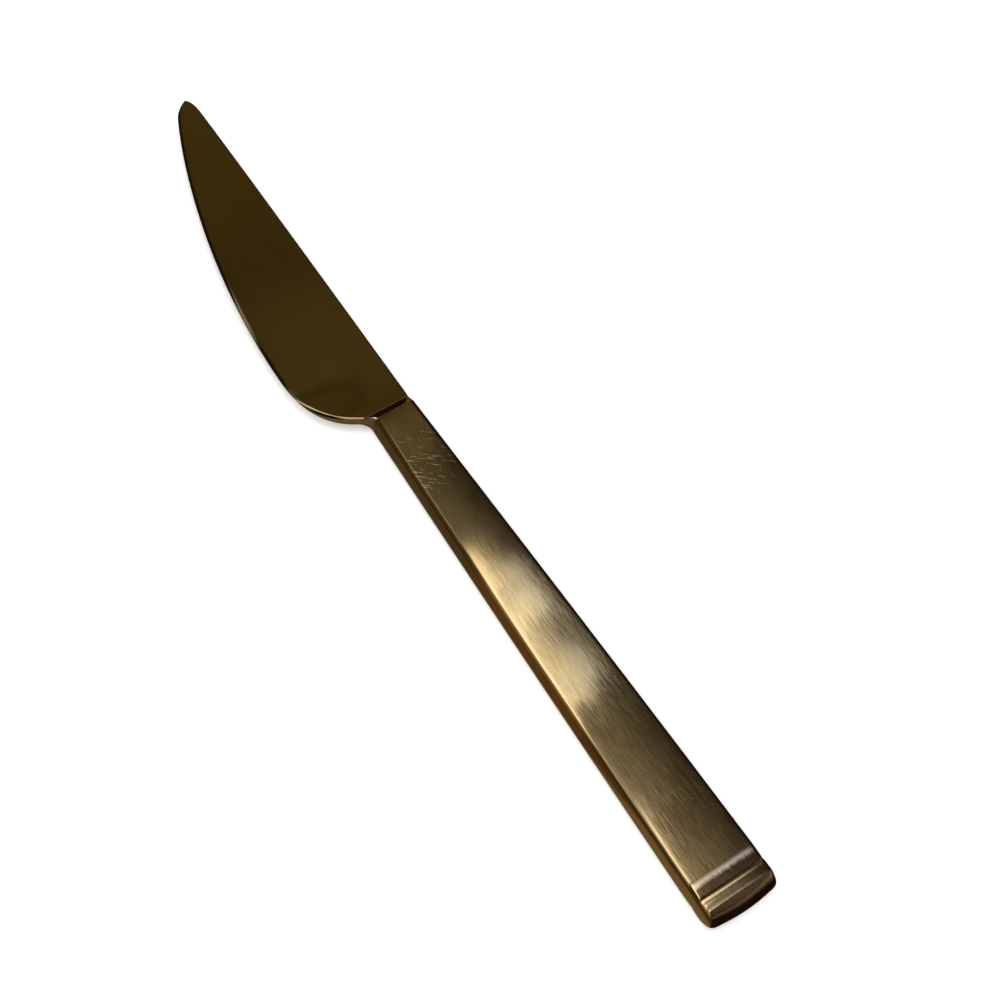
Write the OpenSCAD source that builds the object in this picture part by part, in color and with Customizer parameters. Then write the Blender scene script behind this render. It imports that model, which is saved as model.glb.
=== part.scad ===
// Table knife with a flat, hollow handle that widens to its end.
// +X runs to the tip, +Y to the cutting edge, +Z up from the face that the knife lies on.
// The origin is on that face, below the middle of the whole knife.
// Inside the modules X is 0 at the shoulder's crest, Y on the handle's middle line and Z on the
// middle plane, and placed() moves them to that origin.

/* [Handle] */
// Length of the handle, from the shoulder's crest to its end
handle_length = 135.2; // [120:0.1:150]
// Width of the handle at the shoulder's crest
neck_width = 10.4; // [9.6:0.1:11.4]
// Width that the handle's sides run to at its end
butt_width = 17.8; // [16:0.1:20]
// How far each side bows out, half way along the handle
side_bow = 0.25; // [0.05:0.05:0.5]
// Thickness of the handle
handle_thick = 7.2; // [6.6:0.1:8]
// Radius of the handle's long edges
edge_radius = 1.0; // [0.6:0.05:1.2]
// Wall of the pressed half shells
shell_wall = 0.8; // [0.6:0.05:0.95]
// Length over which each broad face rolls down to the groove
roll_length = 3.6; // [3:0.1:4.5]
// Depth of the groove at the end of that roll
roll_depth = 0.45; // [0.3:0.05:0.6]

/* [End cap] */
// Length of the cap behind the groove
cap_length = 6.6; // [6:0.1:8]
// Length of the cap's flat band, from the groove to its nose
band_length = 3.3; // [2.8:0.1:3.6]
// How far the cap's corners reach along the handle
corner_length = 1.1; // [0.8:0.1:1.6]
// How far the cap's corners reach across the handle
corner_width = 2.4; // [1.6:0.1:3.2]
// How far the middle of the handle's end stands out behind its corners
end_bow = 0.9; // [0.5:0.05:1.2]
// Chamfer along the cap's front lip
lip_chamfer = 0.2; // [0.1:0.05:0.35]
// Length of the cap's spigot inside the shells
cap_spigot = 5; // [3:0.5:8]

/* [Blade] */
// Length of the blade, from the shoulder's crest to the tip
blade_length = 100.8; // [90:0.1:112]
// Depth of the belly below the handle's middle line
belly_drop = 17.5; // [16:0.1:19]
// How far the back stands above the handle's side
back_rise = 0.25; // [0:0.05:0.5]
// How far the back has fallen where the tip's curve starts
back_fall = 0.3; // [0.2:0.05:0.6]
// How far the tip lies below the line of the back
tip_drop = 2.1; // [1.7:0.1:2.8]
// Length of the shoulder's bevel
shoulder_length = 2.4; // [2:0.1:3]
// Thickness of the blade at the foot of the shoulder
root_thick = 2.8; // [2.2:0.1:3.2]
// Thickness of the back at the tip
tip_thick = 1.2; // [1:0.05:1.6]
// Thickness of the belly above its ground bevel
belly_thick = 0.7; // [0.5:0.05:0.9]
// Thickness left at the cutting edge
edge_thick = 0.2; // [0.15:0.01:0.3]
// Width of the ground bevel along the cutting edge
bevel_width = 0.8; // [0.5:0.1:1.2]
// Radius of the back's two edges
back_radius = 0.4; // [0.25:0.05:0.5]

/* [Inside] */
// Length of the spigot that fills the mouth of the shells
neck_spigot = 4; // [3:0.5:6]
// Length of the tang behind that spigot
tang_length = 52; // [35:1:70]
// Width of the tang at its root
tang_root_width = 6; // [5:0.1:7]
// Width of the tang at its end
tang_end_width = 4; // [3:0.1:4.8]
// Thickness of the tang
tang_thick = 3; // [2.4:0.1:3.6]
// Length of the cement behind the tang's end
cement_cover = 6; // [3:0.5:10]
// Height of the braze run on the inside of a seam
braze_height = 1.8; // [1.2:0.1:2.4]
// Depth of the braze run
braze_depth = 0.5; // [0.3:0.05:0.7]
// Clearance between pieces that fit into each other
fit_gap = 0.05; // [0.04:0.01:0.1]

/* [Hidden] */
// Points of a rounded corner, less one
CORNER_STEPS = 4;
// Steps of the cap's end to each side of its middle, and of its wall above the middle plane
END_STEPS = 3;
WALL_STEPS = 4;
// Steps along the handle, and along its roll to the groove
BAR_STEPS = 10;
ROLL_STEPS = 6;
// Overrun of every cut, and the overlap of every joined solid
overrun = 0.3;
// Least radius of a rounded inner edge
least_radius = 0.1;
// Least distance between two sections of the blade
least_step = 0.08;

// Places on the cutting edge, as shares of the blade's length and of its fall
heel_turn_share = [0.041, 0.414];
belly_low_share = 0.208;
tip_turn_share = [0.963, 0.19];
// Direction of the edge at the heel's turn and at the tip's turn, in degrees
heel_angle = 56;
tip_angle = 26.4;
// Reach of each curve's handles, as shares of the blade's length
root_reach_shares = [0.015, 0.03];
heel_reach_shares = [0.055, 0.085];
belly_reach_shares = [0.342, 0.12];
nose_reach_shares = [0.018, 0.009];
rise_reach_shares = [0.016, 0.016];
back_reach_shares = [0.35, 0.2];
crown_reach_shares = [0.026, 0.01];
// Where the back has risen from the handle, and where its tip's curve starts
back_start_share = 0.04;
crown_start_share = 0.955;
// Direction of the back where its tip's curve starts, in degrees
crown_angle = 1;
// Where the heel's thick rim has thinned to the belly's edge
thin_end_share = 0.168;
// Most of a section's width that one of its roundings may take
round_room_share = 0.45;
// Power of the nose's curve: 2 is a parabola, and more is blunter
nose_power = 1.8;

half_thick = handle_thick / 2;
neck_half = neck_width / 2;
butt_half = butt_width / 2;
seam_x = -(handle_length - cap_length);
roll_x = seam_x + roll_length;
roll_radius = (pow(roll_length, 2) + pow(roll_depth, 2)) / (2 * roll_depth);
root_half = root_thick / 2;
back_y = -(neck_half + back_rise);
tip_y = back_y + tip_drop;
nose_length = cap_length - band_length;
inner_inset = shell_wall + fit_gap;

// Half the handle's width at X: a taper with an even bow
function half_at(x) =
    let (share = -x / handle_length)
    mix(neck_half, butt_half, share) + side_bow * 4 * share * (1 - share);

// Half the handle's thickness at X, drawn in by an inset: flat, then rolled down to the groove
// along an arc that has the same middle at every inset
function face_at(x, inset) =
    x > roll_x
        ? half_thick - inset
        : half_thick - roll_radius
            + sqrt(pow(roll_radius - inset, 2) - pow(roll_x - x, 2));

mouth_half = face_at(seam_x, shell_wall);
widest_half = half_at(-(handle_length - end_bow - corner_length));
middle_x = (blade_length - handle_length) / 2;
middle_y = (belly_drop - widest_half) / 2;

// Moves a solid from the knife's own lines to the origin on the face that it lies on
module placed() {
    translate([-middle_x, -middle_y, half_thick])
        children();
}

// Curves

function mix(a, b, share) = a + (b - a) * share;
function clamped(value) = max(0, min(1, value));
function eased(share) = share * share * (3 - 2 * share);
function heading(angle) = [cos(angle), sin(angle)];

function bezier(a, b, c, d, t) =
    pow(1 - t, 3) * a + 3 * t * pow(1 - t, 2) * b + 3 * t * t * (1 - t) * c + pow(t, 3) * d;

function curve(a, b, c, d, steps, first = 0) =
    [for (i = [first:steps]) bezier(a, b, c, d, i / steps)];

// A quarter of an ellipse, from one angle on by 90 degrees
function corner(middle, reach, start, turn = 1) =
    [for (i = [0:CORNER_STEPS])
        let (angle = start + turn * 90 * i / CORNER_STEPS)
        middle + [reach.x * cos(angle), reach.y * sin(angle)]];

// A closed solid through rings that have the same number of points each
module loft(rings) {
    count = len(rings[0]);
    last = len(rings) - 1;
    sides = [for (i = [0:last - 1], j = [0:count - 1])
        let (k = (j + 1) % count, a = i * count, b = (i + 1) * count)
        each [[a + j, b + k, a + k], [a + j, b + j, b + k]]];
    polyhedron(
        points = [for (ring = rings) each ring],
        faces = concat(
            [[for (j = [0:count - 1]) j]],
            sides,
            [[for (j = [count - 1:-1:0]) last * count + j]]));
}

// Blade

heel_turn = [
    heel_turn_share.x * blade_length,
    mix(neck_half, belly_drop, heel_turn_share.y),
];
belly_low = [belly_low_share * blade_length, belly_drop];
tip_turn = [
    tip_turn_share.x * blade_length,
    mix(tip_y, belly_drop, tip_turn_share.y),
];
tip = [blade_length, tip_y];
back_start = [back_start_share * blade_length, back_y];
crown_start = [crown_start_share * blade_length, back_y + back_fall];

// The cutting edge, from the shoulder's crest round the heel and along the belly to the tip
edge_line = concat(
    curve([0, neck_half],
          [root_reach_shares[0] * blade_length, neck_half],
          heel_turn - root_reach_shares[1] * blade_length * heading(heel_angle),
          heel_turn, 8),
    curve(heel_turn,
          heel_turn + heel_reach_shares[0] * blade_length * heading(heel_angle),
          belly_low - heel_reach_shares[1] * blade_length * heading(0),
          belly_low, 8, 1),
    curve(belly_low,
          belly_low + belly_reach_shares[0] * blade_length * heading(0),
          tip_turn - belly_reach_shares[1] * blade_length * heading(-tip_angle),
          tip_turn, 20, 1),
    curve(tip_turn,
          tip_turn + nose_reach_shares[0] * blade_length * heading(-tip_angle),
          tip + nose_reach_shares[1] * blade_length * heading(90),
          tip, 12, 1));

// The back, which rises from the handle's side, runs nearly straight and rounds into the tip
back_line = concat(
    curve([0, -neck_half],
          [rise_reach_shares[0] * blade_length, -neck_half],
          back_start - rise_reach_shares[1] * blade_length * heading(0),
          back_start, 6),
    curve(back_start,
          back_start + back_reach_shares[0] * blade_length * heading(0),
          crown_start - back_reach_shares[1] * blade_length * heading(crown_angle),
          crown_start, 16, 1),
    curve(crown_start,
          crown_start + crown_reach_shares[0] * blade_length * heading(crown_angle),
          tip - crown_reach_shares[1] * blade_length * heading(90),
          tip, 12, 1));

// Sections stand at the edge's own points, with one at the foot of the shoulder
stations = concat(
    [for (p = edge_line) if (p.x < shoulder_length - least_step) p.x],
    [shoulder_length],
    [for (p = edge_line)
        if (p.x > shoulder_length + least_step && p.x < blade_length) p.x]);

// Half the thickness on the shoulder's bevel, which both sides of a section share
function bevel_half(x) = mix(half_thick, root_half, x / shoulder_length);

// How far the heel's rim has thinned to the belly's edge, from 0 to 1
function thinned(x) =
    eased(clamped((x - shoulder_length) / (thin_end_share * blade_length - shoulder_length)));

function back_half_at(x) =
    x < shoulder_length
        ? bevel_half(x)
        : mix(root_half, tip_thick / 2, (x - shoulder_length) / (blade_length - shoulder_length));

function rim_half_at(x) =
    x < shoulder_length ? bevel_half(x) : mix(root_half, belly_thick / 2, thinned(x));

// Width and height of the rounding at the back, and at the edge
function back_round_at(x) = mix(edge_radius, back_radius, clamped(x / shoulder_length));

function rim_round_at(x) =
    x < shoulder_length
        ? mix(edge_radius, root_half - edge_thick / 2, x / shoulder_length) * [1, 1]
        : [mix(root_half, bevel_width, thinned(x)), rim_half_at(x) - edge_thick / 2];

// One section across the blade: rounded back, flat faces, rim that turns into the ground bevel
function blade_section(x) =
    let (
        low = lookup(x, back_line),
        high = lookup(x, edge_line),
        room = (high - low) * round_room_share,
        back_half = back_half_at(x),
        rim_half = rim_half_at(x),
        back = [min(back_round_at(x), room), back_round_at(x)],
        rim = [min(rim_round_at(x).x, room), rim_round_at(x).y],
        outline = concat(
            corner([high - rim.x, rim_half - rim.y], rim, 0),
            corner([low + back.x, back_half - back.y], back, 90),
            corner([low + back.x, back.y - back_half], back, 180),
            corner([high - rim.x, rim.y - rim_half], rim, 270)))
    [for (p = outline) [x, p.x, p.y]];

// The tang narrows to its end
module tang(clearance = 0) {
    front = -neck_spigot + overrun;
    end = -(neck_spigot + tang_length);
    root_reach = tang_root_width / 2 + clearance;
    end_reach = tang_end_width / 2 + clearance;
    linear_extrude(height = tang_thick + 2 * clearance, center = true)
        polygon([
            [front, -root_reach],
            [-neck_spigot, -root_reach],
            [end - clearance, -end_reach],
            [end - clearance, end_reach],
            [-neck_spigot, root_reach],
            [front, root_reach],
        ]);
}

module blade() {
    color([0.25, 0.18, 0.07])
        placed()
            union() {
                loft([for (x = stations) blade_section(x)]);
                bar(inner_inset, -neck_spigot, overrun);
                tang();
            }
}

// Handle

// One section across the handle: a rectangle with rounded corners, drawn in by an inset
function bar_section(x, inset) =
    let (
        radius = max(edge_radius - inset, least_radius),
        reach = [radius, radius],
        middle_y = half_at(x) - inset - radius,
        middle_z = face_at(x, inset) - radius,
        outline = concat(
            corner([middle_y, middle_z], reach, 0),
            corner([-middle_y, middle_z], reach, 90),
            corner([-middle_y, -middle_z], reach, 180),
            corner([middle_y, -middle_z], reach, 270)))
    [for (p = outline) [x, p.x, p.y]];

// The handle's form between two places, from back to front, drawn in by an inset
module bar(inset, back, front) {
    roll_end = max(back, min(front, roll_x));
    roll_steps = roll_end > back ? ROLL_STEPS : 0;
    places = concat(
        [for (i = [0:1:roll_steps - 1]) mix(back, roll_end, i / roll_steps)],
        [for (i = [0:BAR_STEPS]) mix(roll_end, front, i / BAR_STEPS)]);
    loft([for (x = places) bar_section(x, inset)]);
}

// A pressed half shell above the middle plane
module half_shell() {
    difference() {
        bar(0, seam_x, 0);
        bar(shell_wall, seam_x - overrun, overrun);
        translate([seam_x - overrun, -butt_width, -handle_thick])
            cube([handle_length + overrun, 2 * butt_width, handle_thick]);
    }
}

module handle_shell_top() {
    color([0.5, 0.41, 0.24])
        placed()
            half_shell();
}

module handle_shell_bottom() {
    color([0.44, 0.36, 0.2])
        placed()
            mirror([0, 0, 1])
                half_shell();
}

// End cap

// The handle's end across its width, bowed as a parabola, at one height's inset
function end_at(y, end_in) = -handle_length + end_in + end_bow * pow(y / widest_half, 2);

// Outline of the cap at one height, anticlockwise from its front lip on the +Y side
function cap_outline(side_in, end_in, lip_in) =
    let (
        front = seam_x - lip_in,
        straight_y = half_at(corner_length - handle_length) - side_in - corner_width,
        corner_x = end_at(straight_y, end_in) + corner_length,
        side_points = concat(
            [[front, half_at(front) - side_in]],
            corner([corner_x, straight_y], [-corner_length, corner_width], 90, -1)),
        end_points = [for (i = [1:2 * END_STEPS - 1])
            let (y = straight_y * (1 - i / END_STEPS))
            [end_at(y, end_in), y]],
        mirrored = [for (i = [len(side_points) - 1:-1:0])
            [side_points[i].x, -side_points[i].y]])
    concat(side_points, end_points, mirrored);

// Half heights of the cap's outlines: the rounded long edge, then the upright wall
cap_heights = concat(
    [for (i = [0:CORNER_STEPS])
        half_thick - edge_radius * (1 - cos(90 * i / CORNER_STEPS))],
    [for (i = [1:WALL_STEPS]) mix(half_thick - edge_radius, 0, i / WALL_STEPS)]);

function cap_ring(z) =
    let (
        height = abs(z),
        edge_drop = max(0, height - (half_thick - edge_radius)),
        side_in = edge_radius - sqrt(max(0, pow(edge_radius, 2) - pow(edge_drop, 2))),
        end_in = nose_length * pow(height / half_thick, nose_power),
        lip_in = max(0, height - (half_thick - lip_chamfer)))
    [for (p = cap_outline(side_in, end_in, lip_in)) [p.x, p.y, z]];

module end_cap() {
    levels = concat(
        [for (height = cap_heights) -height],
        [for (i = [len(cap_heights) - 2:-1:0]) cap_heights[i]]);
    color([0.52, 0.43, 0.27])
        placed()
            union() {
                loft([for (z = levels) cap_ring(z)]);
                intersection() {
                    bar(inner_inset, seam_x - overrun, seam_x + cap_spigot);
                    cube([3 * handle_length, 2 * butt_width, 2 * (mouth_half - fit_gap)],
                         center = true);
                }
            }
}

// Inside the handle

// One section of a braze run: a low triangle on the inside of the +Y wall
function braze_section(x, clearance) =
    let (wall_y = half_at(x) - inner_inset)
    [
        [x, wall_y + clearance, -braze_height / 2 - clearance],
        [x, wall_y + clearance, braze_height / 2 + clearance],
        [x, wall_y - braze_depth - clearance, 0],
    ];

// Both braze runs, from the cap's spigot to the blade's
module braze_runs(clearance = 0) {
    back = seam_x + cap_spigot + fit_gap - clearance;
    front = -(neck_spigot + fit_gap) + clearance;
    for (flip = [0, 1])
        mirror([0, flip, 0])
            loft([for (i = [0:BAR_STEPS])
                braze_section(mix(back, front, i / BAR_STEPS), clearance)]);
}

module seam_braze() {
    color([0.85, 0.75, 0.45])
        placed()
            braze_runs();
}

module tang_cement() {
    color([0.7, 0.66, 0.58])
        placed()
            difference() {
                bar(inner_inset, -(neck_spigot + tang_length + cement_cover), -neck_spigot);
                tang(fit_gap);
                braze_runs(fit_gap);
            }
}

blade();
handle_shell_top();
handle_shell_bottom();
end_cap();
tang_cement();
seam_braze();
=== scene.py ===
from math import atan, cos, radians, sin, sqrt

import bpy
import numpy as np
from mathutils import Matrix, Vector


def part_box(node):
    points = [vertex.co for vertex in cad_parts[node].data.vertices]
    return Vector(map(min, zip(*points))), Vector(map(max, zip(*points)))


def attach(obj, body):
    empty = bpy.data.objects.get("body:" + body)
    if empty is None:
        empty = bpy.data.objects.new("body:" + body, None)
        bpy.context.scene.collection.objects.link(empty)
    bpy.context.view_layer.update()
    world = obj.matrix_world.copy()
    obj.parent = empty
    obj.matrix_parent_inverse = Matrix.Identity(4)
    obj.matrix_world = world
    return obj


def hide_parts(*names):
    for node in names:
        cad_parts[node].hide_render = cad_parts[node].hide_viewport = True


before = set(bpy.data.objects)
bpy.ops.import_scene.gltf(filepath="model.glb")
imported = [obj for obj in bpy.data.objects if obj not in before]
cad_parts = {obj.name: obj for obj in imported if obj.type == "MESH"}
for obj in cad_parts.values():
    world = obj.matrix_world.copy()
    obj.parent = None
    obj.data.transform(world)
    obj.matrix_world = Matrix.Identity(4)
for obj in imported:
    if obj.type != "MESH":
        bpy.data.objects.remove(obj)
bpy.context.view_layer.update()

# The knife's own lines, in millimetres: X is 0 at the shoulder's crest and runs to the tip, Y is 0
# on the handle's middle line and runs to the cutting edge, and Z is 0 on the middle plane.
MM = 0.001

# Handle
HANDLE_LENGTH = 135.2
NECK_HALF = 5.2  # half the width at the shoulder
BUTT_HALF = 8.9  # half the width at the far end
SIDE_BOW = 0.25  # how far the sides bow out in mid-handle
HALF_THICK = 3.6
EDGE_RADIUS = 1.0
SHELL_WALL = 0.8
ROLL_LENGTH = 4.4  # of the face's roll down to the groove
ROLL_DEPTH = 0.45
FACE_CROWN = 0.2
CROWN_RISE_LENGTH = 30.0  # the crown grows to its full height over this length from the neck
CREST_FILLET = 0.14
SHELL_END_ROUND = 0.22  # of the shells' lip at the groove
NECK_STRETCH = 6.0  # by the neck, where the sections stand closer

# End cap
CAP_LENGTH = 6.6
CORNER_LENGTH = 1.1  # of the rounded corners along the knife
CORNER_WIDTH = 2.4  # and across it
END_BOW = 0.9  # by which the end would curve back at its full width
LIP_ROUND = 0.18
LIP_FALL = 0.1  # how far the lip at the groove lies below the band's top
CREASE_FALL = 0.027
CREASE_LENGTH = 3.6  # from the crease to the cap's end
CAP_CROWN = 0.35  # how far the cap's faces fall to its sides
CAP_SPIGOT = 5.0  # how far the spigot reaches into the handle
SPIGOT_ROOT = 1.0  # how far the spigot reaches back into the cap, so that the two join

# Blade
BLADE_LENGTH = 100.8
BELLY_DROP = 17.5  # from the handle's middle line to the belly's lowest point
BACK_RISE = 0.25  # of the back above the handle's side
BACK_FALL = 0.3  # of the back from there to where it rounds to the tip
TIP_DROP = 2.1  # from the back's top to the tip
SHOULDER_LENGTH = 2.4  # of the bevel from the crest to the blade's face
FOOT_FILLET = 0.2
ROOT_HALF = 1.4  # half the thickness at the shoulder's foot
TIP_HALF = 0.6  # of the back at the tip
BELLY_HALF = 0.35  # of the rim above the ground bevel
EDGE_HALF = 0.1  # of the ground edge
BEVEL_WIDTH = 0.8
BACK_RADIUS = 0.4
NECK_SPIGOT = 4.0  # how far this spigot reaches into the handle
TANG_LENGTH = 52.0
TANG_ROOT_HALF = 3.0
TANG_END_HALF = 2.0
TANG_HALF_THICK = 1.5
FIT_GAP = 0.05
SECTION_GAP = 0.05  # least distance from the shoulder's foot to the next section
TIP_GAP = 0.0001  # what the last section lacks of the blade's length

# Shares of the blade's length and of the edge's fall, and directions in degrees
HEEL_TURN = (0.041, 0.414)
BELLY_LOW = 0.208
TIP_TURN = (0.963, 0.19)
BACK_START = 0.04
CROWN_START = 0.955
THIN_END = 0.168
HEEL_ANGLE = 56
TIP_ANGLE = 26.4
CROWN_ANGLE = 1
# How far the outlines' curves pull before and after each of their points, as shares of the
# blade's length
EDGE_PULLS = ((0, 0.015), (0.03, 0.055), (0.085, 0.342), (0.12, 0.018), (0.009, 0))
BACK_PULLS = ((0, 0.016), (0.016, 0.35), (0.2, 0.026), (0.01, 0))

# Curvature: the share of the width that one rounding may take, and the powers of the elliptical
# arcs that draw the rim into a ground bevel and the cap's nose into a crease
ROUND_ROOM = 0.45
BEVEL_POWER = 1.8
NOSE_POWER = 1.8

# Counts of steps, and where points stand on a straight stretch, as shares of it
EDGE_STEPS = (40, 40, 70, 50)
BACK_STEPS = (20, 40, 50)
RIM_ARC_STEPS = 12
BACK_ARC_STEPS = 10
SHOULDER_STEPS = (4, 7, 6)
SHELL_LIP_STEPS = 6
SHELL_STEPS = (24, 59, 11, 4)
SIDE_STEPS = 6
LONG_EDGE_STEPS = 12
ACROSS_STEPS = 24
LIP_STEPS = 6
NOSE_STEPS = 24
CAP_HALF_STEPS = 21
FACE_SHARES = (0.012, 0.05, 0.2, 0.4, 0.6, 0.8, 0.95, 0.988)
FRONT_SHARES = (0, 0.2, 0.4, 0.6, 0.8)
BAND_SHARES = (0.04, 0.12, 0.2, 0.3, 0.4, 0.5, 0.6, 0.7, 0.8, 0.9, 0.97)
LIP_TURN = 84  # degrees of the lip's arc, which ends where the band's fall begins
SMOOTH_ANGLE = 32

# Worked out from these
SEAM_X = CAP_LENGTH - HANDLE_LENGTH
ROLL_X = SEAM_X + ROLL_LENGTH
ROLL_RADIUS = (ROLL_LENGTH ** 2 + ROLL_DEPTH ** 2) / (2 * ROLL_DEPTH)
BACK_Y = -(NECK_HALF + BACK_RISE)
TIP_Y = BACK_Y + TIP_DROP
FOOT_START = SHOULDER_LENGTH - FOOT_FILLET
FOOT_END = SHOULDER_LENGTH + FOOT_FILLET
INNER_INSET = SHELL_WALL + FIT_GAP
INNER_RADIUS = EDGE_RADIUS - SHELL_WALL
# Where the origin of the knife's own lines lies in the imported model's frame, in metres
ORIGIN = Vector((
    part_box("handle_shell_top")[1].x,
    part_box("blade")[1].y - BELLY_DROP * MM,
    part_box("handle_shell_top")[0].z,
))


# Curves and lofts

def mix(a, b, share):
    return a + (b - a) * share


def clamped(value):
    return max(0.0, min(1.0, value))


def eased(share):
    return share * share * (3 - 2 * share)


def heading(angle):
    return np.array([cos(radians(angle)), sin(radians(angle))])


def spread(stops, steps):
    """Places from stop to stop, with that many equal steps in each stretch."""
    places = [stops[:1]]
    for start, end, count in zip(stops, stops[1:], steps):
        places.append(np.linspace(start, end, count + 1)[1:])
    return np.concatenate(places)


def curve(a, b, c, d, steps, first=0):
    """Points of the Bezier curve from a to d."""
    t = np.arange(first, steps + 1)[:, None] / steps
    a, b, c, d = (np.asarray(p, float) for p in (a, b, c, d))
    return (1 - t) ** 3 * a + 3 * t * (1 - t) ** 2 * b + 3 * t * t * (1 - t) * c + t ** 3 * d


def line_through(points, angles, pulls, steps):
    """Curves from point to point, which leave and reach each one in its direction."""
    parts = []
    for i, count in enumerate(steps):
        leave = np.array(points[i]) + pulls[i][1] * BLADE_LENGTH * heading(angles[i])
        reach = np.array(points[i + 1]) - pulls[i + 1][0] * BLADE_LENGTH * heading(angles[i + 1])
        parts.append(curve(points[i], leave, reach, points[i + 1], count, first=min(i, 1)))
    return np.concatenate(parts)


def arc(middle, reach, start, end, steps, power=1.0):
    """Points of an elliptical arc; a power above 1 draws it towards the chord of its quarter."""
    points = []
    for angle in np.radians(np.linspace(start, end, steps + 1)):
        across, up = cos(angle), sin(angle)
        points.append((
            middle[0] + reach[0] * np.sign(across) * abs(across) ** power,
            middle[1] + reach[1] * np.sign(up) * abs(up) ** power,
        ))
    return points


def ring(x, outline):
    """A section's outline of (y, z) points as a ring at x."""
    return [(x, y, z) for y, z in outline]


def loft(name, rings, stacked_across=False):
    """A closed mesh object through rings of as many points each, unwrapped for its brushing."""
    rings = [np.asarray(r, float) for r in rings]
    count = len(rings[0])
    verts = np.concatenate(rings) * MM + np.array(ORIGIN)
    faces = [tuple(range(count))[::-1]]
    for i in range(len(rings) - 1):
        for j in range(count):
            k = (j + 1) % count
            faces.append((i * count + j, i * count + k, (i + 1) * count + k, (i + 1) * count + j))
    faces.append(tuple(range((len(rings) - 1) * count, len(rings) * count)))
    mesh = bpy.data.meshes.new(name)
    mesh.from_pydata(verts.tolist(), [], faces)
    mesh.validate()
    mesh.shade_smooth()
    mesh.set_sharp_from_angle(angle=radians(SMOOTH_ANGLE))
    unwrap(mesh, rings, count, stacked_across)
    piece = bpy.data.objects.new(name, mesh)
    bpy.context.scene.collection.objects.link(piece)
    return piece


def unwrap(mesh, rings, count, stacked_across):
    """UVs for the brushing: U runs across the brush lines and V along them, in mm."""
    layer = mesh.uv_layers.new(name="brush")
    round_way = []
    for r in rings:
        steps = np.linalg.norm(np.roll(r, -1, axis=0) - r, axis=1)
        round_way.append(np.concatenate([[0], np.cumsum(steps)]))
    for face in mesh.polygons:
        on_side = 0 < face.index < len(mesh.polygons) - 1
        wraps = on_side and (face.index - 1) % count == count - 1
        for loop in face.loop_indices:
            i, j = divmod(mesh.loops[loop].vertex_index, count)
            x, y, z = rings[i][j]
            way = round_way[i][count if wraps and j == 0 else j]
            if stacked_across:
                u, v = (y, way) if on_side else (z, x)
            else:
                u, v = (way, x) if on_side else (y, z)
            layer.data[loop].uv = (u, v)


# Blade

def edge_line():
    """The cutting edge, from the shoulder's crest round the heel and along the belly to the tip."""
    crest = (0, NECK_HALF)
    turn = (HEEL_TURN[0] * BLADE_LENGTH, mix(NECK_HALF, BELLY_DROP, HEEL_TURN[1]))
    low = (BELLY_LOW * BLADE_LENGTH, BELLY_DROP)
    nose = (TIP_TURN[0] * BLADE_LENGTH, mix(TIP_Y, BELLY_DROP, TIP_TURN[1]))
    tip = (BLADE_LENGTH, TIP_Y)
    angles = (0, HEEL_ANGLE, 0, -TIP_ANGLE, -90)
    return line_through((crest, turn, low, nose, tip), angles, EDGE_PULLS, EDGE_STEPS)


def back_line():
    """The back, which rises from the handle's side, runs nearly straight and rounds to the tip."""
    crest = (0, -NECK_HALF)
    start = (BACK_START * BLADE_LENGTH, BACK_Y)
    crown = (CROWN_START * BLADE_LENGTH, BACK_Y + BACK_FALL)
    tip = (BLADE_LENGTH, TIP_Y)
    return line_through((crest, start, crown, tip), (0, 0, CROWN_ANGLE, 90), BACK_PULLS, BACK_STEPS)


EDGE_LINE = edge_line()
BACK_LINE = back_line()


def shoulder_half(x):
    """Half the thickness along the shoulder: a bevel with a filleted crest and foot."""
    slope = (HALF_THICK - ROOT_HALF) / SHOULDER_LENGTH
    if x < CREST_FILLET:
        return HALF_THICK - slope * (x + CREST_FILLET) ** 2 / (4 * CREST_FILLET)
    if x < FOOT_START:
        return HALF_THICK - slope * x
    rest = min(x, FOOT_END) - FOOT_END
    return ROOT_HALF + slope * rest ** 2 / (4 * FOOT_FILLET)


def thinned(x):
    """How far the rim has thinned at x: 0 at the shoulder, 1 from the belly on."""
    return eased(clamped((x - SHOULDER_LENGTH) / (THIN_END * BLADE_LENGTH - SHOULDER_LENGTH)))


def blade_section(x):
    """One section: rounded back, flat faces, and a rim that turns into the ground bevel."""
    low = np.interp(x, BACK_LINE[:, 0], BACK_LINE[:, 1])
    high = np.interp(x, EDGE_LINE[:, 0], EDGE_LINE[:, 1])
    room = (high - low) * ROUND_ROOM
    if x < FOOT_END:
        back_half = rim_half = shoulder_half(x)
        share = x / FOOT_END
        back = mix(EDGE_RADIUS, BACK_RADIUS, share)
        rim_reach = [mix(EDGE_RADIUS, ROOT_HALF - EDGE_HALF, share)] * 2
    else:
        along = (x - FOOT_END) / (BLADE_LENGTH - FOOT_END)
        back_half = mix(ROOT_HALF, TIP_HALF, along)
        rim_half = mix(ROOT_HALF, BELLY_HALF, thinned(x))
        back = BACK_RADIUS
        rim_reach = [mix(ROOT_HALF, BEVEL_WIDTH, thinned(x)), rim_half - EDGE_HALF]
    rim_reach = [min(rim_reach[0], room), rim_reach[1]]
    back_reach = [min(back, room), back]
    power = mix(1.0, BEVEL_POWER, thinned(x))
    rim_y = high - rim_reach[0]
    back_y = low + back_reach[0]
    upper = arc((rim_y, rim_half - rim_reach[1]), rim_reach, 0, 90, RIM_ARC_STEPS, power)
    for share in FACE_SHARES:
        upper.append((mix(rim_y, back_y, share), mix(rim_half, back_half, share)))
    upper += arc((back_y, back_half - back_reach[1]), back_reach, 90, 180, BACK_ARC_STEPS)
    lower = [(y, -z) for y, z in reversed(upper)]
    return upper + lower


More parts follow.
